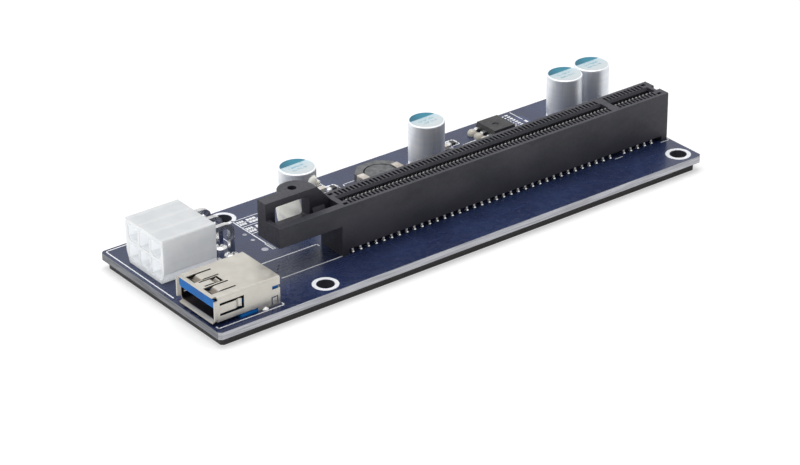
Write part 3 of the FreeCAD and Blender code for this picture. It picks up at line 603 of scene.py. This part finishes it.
def mesh_of(name, work):
    """Ends the work on a closed mesh, with its faces turned outwards."""
    bmesh.ops.recalc_face_normals(work, faces=work.faces)
    mesh = bpy.data.meshes.new(name)
    work.to_mesh(mesh)
    work.free()
    return mesh


def piece(name, work, material, smooth=True):
    """Makes a closed mesh an object that rides on the part."""
    for face in work.faces:
        face.smooth = smooth
    made = link(name, mesh_of(name, work))
    made.data.materials.append(material)
    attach(made, "root")
    return made


def solid(name, outlines, low, high, material, slot="board_laminate"):
    """One piece from closed flat outlines, carried up from a low to a high level."""
    work = bmesh.new()
    for outline in outlines:
        rims = [[work.verts.new(place(x, y, level)) for x, y in outline] for level in (low, high)]
        bridge(work, rims[::-1])
    piece(name, work, material, False)


def copy_of(node, name):
    """A closed copy of a CAD node's mesh, which may be reshaped."""
    made = link(name, nodes[node].data.copy())
    made.matrix_world = nodes[node].matrix_world
    work = bmesh.new()
    work.from_mesh(made.data)
    bmesh.ops.remove_doubles(work, verts=work.verts, dist=1e-7)
    work.to_mesh(made.data)
    work.free()
    return made


def carve(target, operation, boxes):
    """Cuts boxes out of an object, or joins them on, for good. A box is its range of x, of y and of z."""
    work = bmesh.new()
    for (left, right), y, (low, high) in boxes:
        prism(work, rectangle(left, low, right, high), y)
    mesh = mesh_of("tool", work)
    tool = link("tool", mesh)
    modifier = target.modifiers.new("carve", "BOOLEAN")
    modifier.operation = operation
    modifier.solver = "EXACT"
    modifier.object = tool
    graph = bpy.context.evaluated_depsgraph_get()
    result = bpy.data.meshes.new_from_object(target.evaluated_get(graph))
    target.modifiers.remove(modifier)
    target.data = result
    bpy.data.objects.remove(tool)
    bpy.data.meshes.remove(mesh)


# ---- Print ----


def part_outlines():
    """Printed lines round the header, the socket, the inductor and the small packages."""
    usb_low, usb_high = board_box("usb_shell")
    header_right = board_box("power_housing")[1][0]
    left, back = 0.9, board_box("circuit_board")[1][1] - 0.7
    front, right = 1.8, usb_high[0] + 0.4
    between = 17.4
    lines = stroke([(left, between), (left, back), (header_right + 1.2, back)], BOLD)
    lines += stroke([(left, between), (usb_low[0] + 0.3, between)], BOLD)
    lines += stroke([(1.0, usb_low[1] + 0.1), (1.0, front), (right, front), (right, 2.6)], BOLD)
    lines += stroke([(right, 15.9), (right, 17.0), (usb_high[0] - 1.5, 17.0)], THIN)
    lines += stroke([(23.1, 34.6), (23.1, 30.6)], THIN)
    for node, grow in (("inductor_shield", 0.7), ("diode_body", 0.9), ("regulator_body", 0.5)):
        lines += drawn_frame(*board_box(node), (grow, grow))
    low, high = board_box("converter_chip")
    for x in (low[0] - 0.5, high[0] + 0.5):
        lines += stroke([(x, low[1] - 1.1), (x, high[1] + 1.1)], THIN)
    return lines


def slot_outlines():
    """Printed lines at the slot's right end and its key, and two that stop short under its arm."""
    low, high = board_box("slot_housing")
    inner, outer = high[0] - 2.2, high[0] + 0.2
    lines = stroke([(ARM_RULE_LEFT, 18.5), (36.9, 18.5), (36.9, 17.7)], BOLD)
    lines += stroke([(ARM_RULE_LEFT, 11.0), (low[0] + 17.2, 11.0)], BOLD)
    lines += stroke(rectangle(inner, SLOT_RULE_FRONT, outer, SLOT_RULE_BACK), THIN)
    key_x = key_place()
    for y in (SLOT_RULE_FRONT, 18.9):
        lines += stroke([(key_x - 1.0, y), (key_x + 1.0, y)], THIN)
    return lines


def label_marks():
    """The long rule beside the arm, with its label fields."""
    rule, gap = 28.9, 0.13
    lines = stroke([(rule, 22.3), (rule, 37.9)], BOLD)
    lines.append(rectangle(28.5, 22.2, 29.2, 25.3))
    for y in (30.6, 34.1, 37.5):
        lines += stroke([(rule, y), (35.2, y)], THIN)
    for left, front, right, back in LABELS:
        width = (right - left) / 3
        for step in range(3):
            bar = left + step * width
            lines.append(rectangle(bar, front, bar + width - gap, back))
        lines += stroke([(left, (front + back) / 2), (right, (front + back) / 2)], 0.3)
    return lines


def terminal_marks():
    """Two columns of dashes, and a few rules, by the regulator."""
    lines = []
    for step in range(9):
        y = 34.4 + step * 0.92
        lines.append(rectangle(106.3, y, 107.1, y + 0.55))
        lines.append(rectangle(105.3, y, 105.9, y + 0.4))
    lines += stroke([(108.4, 38.4), (108.4, 42.8)], THIN)
    lines.append(rectangle(108.2, 36.6, 108.8, 37.7))
    lines += stroke([(89.6, 36.3), (93.4, 36.5)], BOLD)
    return lines


def printed_rings():
    """Rings round the cans, with a plus mark beside each, and rings round the screw holes."""
    rings = []
    for number, arcs in CAN_ARCS.items():
        x, y = middle("capacitor_can_" + str(number))
        for start, end in arcs:
            rings += band(x, y, *CAN_RING, 48, start, end)
        side = 1 if number == 3 else -1
        rings += stroke([(x + side * 5.7, y + 2.6), (x + side * 5.7, y + 4.0)], 0.22)
        rings += stroke([(x + side * 6.4, y + 3.3), (x + side * 5.0, y + 3.3)], 0.22)
    for x in MOUNT_X:
        for y in MOUNT_Y:
            rings += band(x, y, *MOUNT_RING, 56)
    return rings


def chip_fields():
    """A frame round each small chip and the lamp, with two plain blocks behind it."""
    fields = []
    for node in ("chip_resistors", "chip_capacitors", "indicator_lamp"):
        for x, y in islands(node):
            front, back = y + 1.2, y + 1.75
            fields += drawn_frame((x, y), (x, y), (1.45, 1.0))
            fields.append(rectangle(x - 1.3, front, x + 0.5, back))
            fields.append(rectangle(x + 0.8, front, x + 1.3, back))
    return fields


def make_ink(material):
    """The screen print, which holds no lettering."""
    lines = part_outlines() + slot_outlines() + label_marks() + terminal_marks()
    solid("screen_lines", lines, INK_LOW, INK_HIGH, material)
    solid("screen_rings", printed_rings(), INK_LOW, INK_HIGH, material)
    solid("screen_fields", chip_fields(), INK_LOW, INK_HIGH + 0.002, material)


# ---- Solder and tracks ----


def drops(name, places, profile, steps, material):
    """Solder drops of one profile, as a piece."""
    work = bmesh.new()
    for x, y in places:
        turned(work, x, y, profile, steps)
    piece(name, work, material)


def make_solder(material, bead_material, land_material):
    """Solder at every pin, on the small chips and at the inductor's clips, and the bare lands."""
    contacts = tails("slot_contacts_front") + tails("slot_contacts_rear")
    drops("slot_solder", contacts, CONTACT_DROP, 12, material)

    half_pin = 0.535
    work = bmesh.new()
    for node in ("power_pins_lower", "power_pins_upper"):
        low, high = board_box(node)
        for y in (low[1] + half_pin, (low[1] + high[1]) / 2, high[1] - half_pin):
            turned(work, high[0] - half_pin, y, PIN_DROP, 20)
    usb_low, usb_high = board_box("usb_shell")
    for y in (usb_low[1] + 0.45, usb_high[1] - 0.65):
        turned(work, usb_low[0] + 12.2, y, LEG_DROP, 20)
    piece("pin_solder", work, material)

    foot = board_box("regulator_leads")[0][0] + 0.95
    drops("lead_beads", [(foot, y) for _, y in islands("regulator_leads")], LEAD_DROP, 24, bead_material)

    work = bmesh.new()
    for x, y in islands("chip_terminals"):
        turned(work, x, y, CHIP_DROP, 14)
    low, high = board_box("inductor_terminals")
    for x in (low[0] + 0.1, high[0] - 0.1):
        for y in (low[1] + 0.3, high[1] - 0.3):
            turned(work, x, y, CLIP_DROP, 18)
    piece("chip_solder", work, material)

    lands = [rectangle(103.0, 34.4, 105.6, 40.4)]
    for x, y, radius in ((27.6, 31.2, 0.5), (27.6, 28.2, 0.45), (27.2, 23.3, 0.75), (20.5, 30.2, 0.6)):
        lands.append(circle(x, y, radius, 24))
    solid("bare_lands", lands, INK_LOW, INK_HIGH, land_material, "plated_metal")


def socket_tracks():
    """Tracks from the socket: five that pass behind the screw hole, and four that run towards the slot."""
    lines = []
    for index in range(5):
        y = 3.6 + index * 0.8
        turn = 18.6 + index * 0.5
        end = 36.0 + index * 1.5
        lines += stroke([(17.3, y), (turn, y), (turn + 3.4, y + 3.4), (end, y + 3.4)], WIDE_TRACK)
    for index in range(4):
        y = 12.2 + index * 1.1
        turn = 22.0 + index
        lines += stroke([(17.6, y), (turn, y), (turn + 1.4, y + 1.4), (34.6, y + 1.4)], WIDE_TRACK)
    return lines


def slot_tracks():
    """Tracks from the slot's contacts to the front and to the back, and the vias beside them."""
    rng = random.Random(7)
    lines = []
    vias = []
    for index in range(14):
        x = 44.0 + index * 5.4 + rng.uniform(-1.0, 1.0)
        y = rng.uniform(6.0, 8.2)
        end = x + rng.uniform(3.0, 7.0)
        lines += stroke([(x, 10.4), (x, y), (x + 1.4, y - 1.4), (end, y - 1.4)], NARROW_TRACK)
        vias.append((x + rng.uniform(2.4, 3.0), y - rng.uniform(2.6, 3.6)))
    for index in range(16):
        x = 42.0 + index * 5.1 + rng.uniform(-1.2, 1.2)
        y = rng.uniform(21.0, 23.5)
        end = y + rng.uniform(2.0, 4.0)
        lines += stroke([(x, 18.9), (x, y), (x - 1.2, y + 1.2), (x - 1.2, end)], WIDE_TRACK)
        vias.append((x + rng.uniform(0.8, 1.6), y + rng.uniform(0.4, 2.6)))
    return lines, vias


def make_tracks(material):
    """The copper that shows through the mask: tracks, broad fields behind the slot, and vias."""
    lines, vias = slot_tracks()
    fields = [
        rectangle(46.5, 33.0, 55.5, 39.5), rectangle(69.6, 27.2, 71.8, 36.4),
        rectangle(104.5, 34.4, 109.5, 40.0), rectangle(84.0, 33.2, 93.5, 35.8),
    ]
    solid("masked_tracks", socket_tracks() + lines + fields, 0.0, TRACK_HIGH, material)
    work = bmesh.new()
    for x, y in vias:
        turned(work, x, y, VIA_RIM, 14, closed=True)
    piece("track_vias", work, material, False)


# ---- Cans and contacts ----


def make_can(node, material):
    """A drawn can with a rolled lid edge and the groove that grips its bung, in place of the plain solid."""
    low, high = board_box(node)
    x, y = middle(node)
    radius = (high[0] - low[0]) / 2
    foot, top = low[2], high[2]
    foot_edge, roll = 0.15, 0.3
    groove = foot + 1.9
    # Half of the groove, from its edge to its floor, as the distance from its middle and the depth
    half = [(0.5, 0.0), (0.42, 0.01), (0.26, 0.12), (0.1, 0.28)]
    profile = [(0.0, foot), (radius - foot_edge, foot), (radius, foot + foot_edge)]
    profile += [(radius - depth, groove - away) for away, depth in half]
    profile += [(radius - depth, groove + away) for away, depth in half[::-1]]
    profile.append((radius, top - 0.5))
    profile += [polar(radius - roll, top - roll, roll, degrees) for degrees in range(0, 91, 15)]
    profile += [(radius - 0.42, top - 0.01), (radius - 0.52, top - 0.05), (radius - 0.60, top - 0.08)]
    profile += [(radius - 0.70, top - 0.09), (0.0, top - 0.09)]
    work = bmesh.new()
    turned(work, x, y, profile, 72)
    can = piece(node.replace("capacitor_can", "drawn_can"), work, material)
    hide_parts(node)


def adhesive_thickness(bearing, level, waves):
    """How thick the adhesive is at a bearing and a level on its can, rippled by the waves."""
    # Lobes as bearing, level, spread in degrees, rise and thickness
    lobes = (
        (196.0, 3.4, 50.0, 4.8, 1.25), (214.0, 1.6, 46.0, 2.6, 1.05),
        (287.0, 9.5, 20.0, 1.35, 0.78), (280.0, 8.9, 27.0, 0.8, 0.50),
    )
    best = 0.0
    for middle_bearing, middle_level, spread, rise, thick in lobes:
        away = ((bearing - middle_bearing) / spread) ** 2 + ((level - middle_level) / rise) ** 2
        best = max(best, thick * math.sqrt(max(0.0, 1.0 - away)))
    turn = math.radians(bearing)
    ripple = sum(math.sin(a * turn * 2 + b * level + c) for a, b, c in waves)
    return best * (1.0 + 0.07 * ripple)


def make_adhesive(material):
    """The white adhesive on the first can: a smear down its left side and a dab on its shoulder."""
    x, y = middle("capacitor_can_1")
    low, high = board_box("capacitor_can_1")
    radius = (high[0] - low[0]) / 2
    rng = random.Random(3)
    waves = [(rng.uniform(2.0, 5.0), rng.uniform(0.6, 2.2), rng.uniform(0.0, 6.0)) for _ in range(5)]
    # A grid over the side of the can, kept where the adhesive is thick enough and sunk into the metal
    across, up = 96, 60
    start, sweep = 150.0, 160.0
    bottom, rise = 0.02, 11.0
    least, sunk, root_depth = 0.02, 0.10, 0.35
    bearings = [start + sweep * step / across for step in range(across + 1)]
    levels = [bottom + rise * step / up for step in range(up + 1)]
    thick = [[adhesive_thickness(bearing, level, waves) for bearing in bearings] for level in levels]
    work = bmesh.new()
    made = {}

    def corner(row, column, outer):
        key = (row, column, outer)
        if key not in made:
            reach = radius + (thick[row][column] - sunk if outer else -root_depth)
            made[key] = work.verts.new(place(*polar(x, y, reach, bearings[column]), levels[row]))
        return made[key]

    cells = set()
    for row in range(up):
        for column in range(across):
            if max(thick[row + a][column + b] for a in (0, 1) for b in (0, 1)) > least:
                cells.add((row, column))
    for row, column in cells:
        ring = [(row, column), (row, column + 1), (row + 1, column + 1), (row + 1, column)]
        work.faces.new([corner(*spot, True) for spot in ring])
        work.faces.new([corner(*spot, False) for spot in ring[::-1]])
        # A wall closes each side that has no neighbour
        beside = [(row - 1, column), (row, column + 1), (row + 1, column), (row, column - 1)]
        for index, spot in enumerate(beside):
            if spot not in cells:
                first, second = ring[index], ring[(index + 1) % 4]
                edge = ((second, True), (first, True), (first, False), (second, False))
                work.faces.new([corner(*end, outer) for end, outer in edge])
    piece("can_adhesive", work, material)


def make_tips(material):
    """The rounded tips of the front row of contacts, which show in the slot's comb."""
    _, high = board_box("slot_contacts_front")
    half_width, sunk = 0.17, 0.02
    outline = [(-0.62, 0.0), (-0.56, 0.18), (-0.40, 0.27), (-0.20, 0.27), (-0.04, 0.18), (0.0, 0.0)]
    points = [(high[1] + y, high[2] + z - sunk) for y, z in outline]
    work = bmesh.new()
    for x, _ in tails("slot_contacts_front"):
        sides = (x - half_width, x + half_width)
        bridge(work, [[work.verts.new(place(side, y, z)) for y, z in points] for side in sides])
    piece("contact_tips", work, material)


# ---- Socket and pad ----


def make_shell(material, spring_material):
    """The socket's shell with folded springs in its top and sides, in place of the plain solid."""
    (_, front, _), (_, back, top) = board_box("usb_insulator")
    top += SHELL_SHEET
    shell = copy_of("usb_shell", "socket_shell")
    # The plain springs are cut away and the sheet is closed, just inside its own faces
    plain_x, plain_y = (1.2, 8.0), (4.2, 14.1)
    lap, inset = 0.05, 0.004
    carve(shell, "DIFFERENCE", [(plain_x, plain_y, (top - 0.9, top + 0.5))])
    patch_x, patch_y = ((low - lap, high + lap) for low, high in (plain_x, plain_y))
    carve(shell, "UNION", [(patch_x, patch_y, (top - SHELL_SHEET + inset, top - inset))])
    # Then the sheet is opened for the folded springs, in the top and in both sides
    long_x, short_x = (1.45, 7.3), (2.25, 6.6)
    windows = ((long_x, (10.56, 13.72)), (long_x, (4.52, 7.65)), (short_x, (7.98, 10.38)))
    carve(shell, "DIFFERENCE", [(x, y, (top - 0.6, top + 0.5)) for x, y in windows])
    sides = ((front - 0.3, front + 0.6), (back - 0.6, back + 0.3))
    carve(shell, "DIFFERENCE", [((2.0, 7.75), y, (2.1, 4.9)) for y in sides])
    cover(shell.data, material)
    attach(shell, "root")
    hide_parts("usb_shell")

    work = bmesh.new()
    springs = ((OUTER_SPRING, (10.95, 13.26)), (OUTER_SPRING, (4.97, 7.22)), (MIDDLE_SPRING, (8.40, 9.98)))
    for path, y in springs:
        upper = [(x, top + rise) for x, rise in path]
        lower = [(x, top + rise - SPRING_SHEET) for x, rise in path[::-1]]
        prism(work, upper + lower, y)
    piece("top_springs", work, spring_material, False)

    strips = []
    for y, inward in ((front, 1), (back, -1)):
        outer = [(x, y + inward * dip) for x, dip in SIDE_SPRING]
        inner = [(x, y + inward * (dip + SPRING_SHEET)) for x, dip in SIDE_SPRING[::-1]]
        strips.append(outer + inner)
    solid("side_springs", strips, *SIDE_SPRING_LEVELS, spring_material, "shell_steel")


def make_pad(material):
    """The foam pad with soft cut edges, in place of its plain solid."""
    pad = copy_of("foam_pad", "foam_sheet")
    work = bmesh.new()
    work.from_mesh(pad.data)
    bmesh.ops.dissolve_limit(work, angle_limit=0.02, verts=work.verts, edges=work.edges)
    sharp = [edge for edge in work.edges if len(edge.link_faces) == 2 and edge.calc_face_angle() > 1.0]
    bmesh.ops.bevel(work, geom=sharp, offset=0.22 * MM, segments=3, affect="EDGES", profile=0.6)
    work.to_mesh(pad.data)
    work.free()
    cover(pad.data, material)
    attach(pad, "root")
    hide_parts("foam_pad")


# ---- Stage ----


def make_floor():
    """A pale floor that keeps the shadow and looks white where it is fully lit."""
    s = Surface("floor_paper", Roughness=0.9, Specular_IOR_Level=0.0)
    path = s.node("LightPath").outputs
    mirrored = s.math("MAXIMUM", path["Is Glossy Ray"], path["Is Transmission Ray"])
    seen = s.math("MAXIMUM", path["Is Camera Ray"], mirrored)
    s.set(s.shader, {"Base Color": s.blend(seen, (0.90, 0.90, 0.895), (0.56, 0.56, 0.558))})
    glow = s.node("Emission", {"Color": (1, 1, 1, 1), "Strength": s.math("MULTIPLY", seen, 0.48)})
    both = s.node("AddShader", {0: s.shader.outputs["BSDF"], 1: glow.outputs["Emission"]})
    s.set(s.tree.nodes["Material Output"], {"Surface": both.outputs[0]})
    reach = 3
    corners = [(x, y, 0.0) for x, y in rectangle(-reach, -reach, reach, reach)]
    mesh = bpy.data.meshes.new("floor")
    mesh.from_pydata(corners, [], [(0, 1, 2, 3)])
    mesh.materials.append(s.material)
    floor = link("floor", mesh)


def make_world():
    """A white room that is dimmer on the near side, as a studio is behind the camera."""
    world = bpy.data.worlds.new("room")
    world.use_nodes = True
    bpy.context.scene.world = world
    bright_side = (0.50, 0.62, 0.60)
    dimmest, brightest = 0.42, 0.95
    matt_share = 0.62
    room = Graph(world.node_tree)
    direction = room.node("TexCoord").outputs["Generated"]
    ahead = room.node("VectorMath", {0: direction, 1: bright_side}, operation="DOT_PRODUCT")
    fade = room.ramp(ahead.outputs["Value"], -0.9, 0.5, dimmest, brightest)
    path = room.node("LightPath").outputs
    light = room.choose(path["Is Glossy Ray"], room.math("MULTIPLY", fade, matt_share), fade)
    seen = room.math("MAXIMUM", path["Is Camera Ray"], path["Is Transmission Ray"])
    strength = room.choose(seen, light, 1.0)
    room.set(world.node_tree.nodes["Background"], {"Color": (1, 1, 1, 1), "Strength": strength})


def make_lamp(name, spot, width, height, power):
    """A soft box that faces the part."""
    data = bpy.data.lights.new(name, "AREA")
    data.shape = "RECTANGLE"
    data.size = width
    data.size_y = height
    data.energy = power
    lamp = link(name, data)
    lamp.location = spot
    lamp.rotation_euler = (-Vector(spot)).to_track_quat("-Z", "Y").to_euler()


def make_camera():
    """The main view, through a long lens from the left in front, tilted by half a degree."""
    data = bpy.data.cameras.new("camera")
    data.sensor_width = 36
    data.lens = 130.9
    camera = link("camera", data)
    spot = Vector((-0.33478, -0.43561, 0.28399))
    aim = Vector((-0.01021, -0.00970, 0.0036))
    level = (aim - spot).to_track_quat("-Z", "Y").to_matrix()
    tilt = Matrix.Rotation(math.radians(-0.48), 3, "Z")
    camera.matrix_world = Matrix.Translation(spot) @ (level @ tilt).to_4x4()
    bpy.context.scene.camera = camera


# ---- The whole ----


def dress_solids():
    """Gives a material to each CAD node that shows."""
    contact = plated_surface(
        "contact_plate", (0.84, 0.83, 0.84), (0.62, 0.60, 0.60), (0.30, 0.42), metallic=0.5
    )
    gold = plated_surface("gold_plate", (0.90, 0.82, 0.66), (0.74, 0.62, 0.42), (0.18, 0.32))
    tin = plated_surface("bright_tin", (0.90, 0.90, 0.90), (0.72, 0.72, 0.73), (0.20, 0.36), bump=0.2)
    pins = plated_surface(
        "pin_plate", (0.80, 0.80, 0.80), (0.56, 0.56, 0.57), (0.10, 0.24), (0.3, 1, 0.3), rounding=0.12
    )
    clips = plated_surface(
        "clip_tin", (0.74, 0.70, 0.65), (0.46, 0.42, 0.38), (0.30, 0.48), rounding=0.35, bump=0.35
    )
    epoxy = moulded_surface(
        "package_epoxy", (0.045, 0.045, 0.048), (0.028, 0.028, 0.031), (0.42, 0.62),
        specular=0.4, rounding=0.10, grain=9.0,
    )
    bung = moulded_surface("bung_rubber", (0.025, 0.025, 0.025), (0.015, 0.015, 0.015), (0.6, 0.8), 0.3)

    dress(board_surface(), "circuit_board")
    dress(slot_surface(), "slot_housing")
    dress(contact, "slot_contacts_front", "slot_contacts_rear")
    dress(gold, "usb_contacts")
    dress(insulator_surface(), "usb_insulator")
    dress(header_surface(), "power_housing")
    dress(pins, "power_pins_lower", "power_pins_upper")
    dress(bung, "capacitor_seals")
    dress(ferrite_surface(), "inductor_shield", "inductor_core")
    dress(coil_surface(), "inductor_winding")
    dress(clips, "inductor_terminals")
    dress(tin, "capacitor_leads", "regulator_leads", "regulator_tab", "converter_leads")
    dress(tin, "diode_terminals", "chip_terminals")
    dress(epoxy, "regulator_body", "converter_chip", "diode_body", "chip_resistors")
    dress(ceramic_surface(), "chip_capacitors")
    dress(lamp_surface(), "indicator_lamp")


def make_pieces():
    """Adds what the solids lack: drawn cans, adhesive, springs, soft foam, print, solder, tracks."""
    # The adhesive has a painted glow of its own, which keeps it white in the shade under the arm
    glowing_glue = moulded_surface(
        "white_adhesive", (0.93, 0.93, 0.87), (0.80, 0.79, 0.71), (0.35, 0.6), specular=0.4,
        rounding=0.0, grain=3.0, Emission_Strength=0.14, Emission_Color=(1.0, 0.99, 0.92, 1.0),
    )
    crowns = plated_surface("contact_crown", (0.50, 0.49, 0.48), (0.36, 0.35, 0.35), (0.24, 0.40))
    solder = plated_surface(
        "solder", (0.93, 0.93, 0.93), (0.78, 0.78, 0.79), (0.20, 0.36), rounding=0.0, bump=0.25
    )
    flux = moulded_surface("fluxed_solder", (0.56, 0.53, 0.47), (0.42, 0.40, 0.35), (0.25, 0.45), rounding=0)
    land = plated_surface("dull_land", (0.46, 0.46, 0.52), (0.34, 0.34, 0.40), (0.40, 0.55), rounding=0.0)

    for number in CAN_ARCS:
        node = "capacitor_can_" + str(number)
        make_can(node, can_surface(node))
    make_adhesive(glowing_glue)
    make_tips(crowns)
    make_shell(shell_surface("nickel_shell", True), shell_surface("nickel_spring", False))
    make_pad(foam_surface())
    make_ink(ink_surface())
    make_solder(solder, flux, land)
    make_tracks(track_surface())


def make_stage():
    """A pale floor in a white room, with a soft light overhead and one at the left."""
    make_floor()
    make_world()
    make_lamp("overhead", spot=(0.02, 0.12, 0.95), width=0.8, height=0.6, power=5.6)
    make_lamp("left_fill", spot=(-0.8, 0.1, 0.45), width=0.6, height=0.5, power=1.6)
    make_camera()
    bpy.context.scene.view_settings.view_transform = "Standard"


dress_solids()
make_pieces()
make_stage()
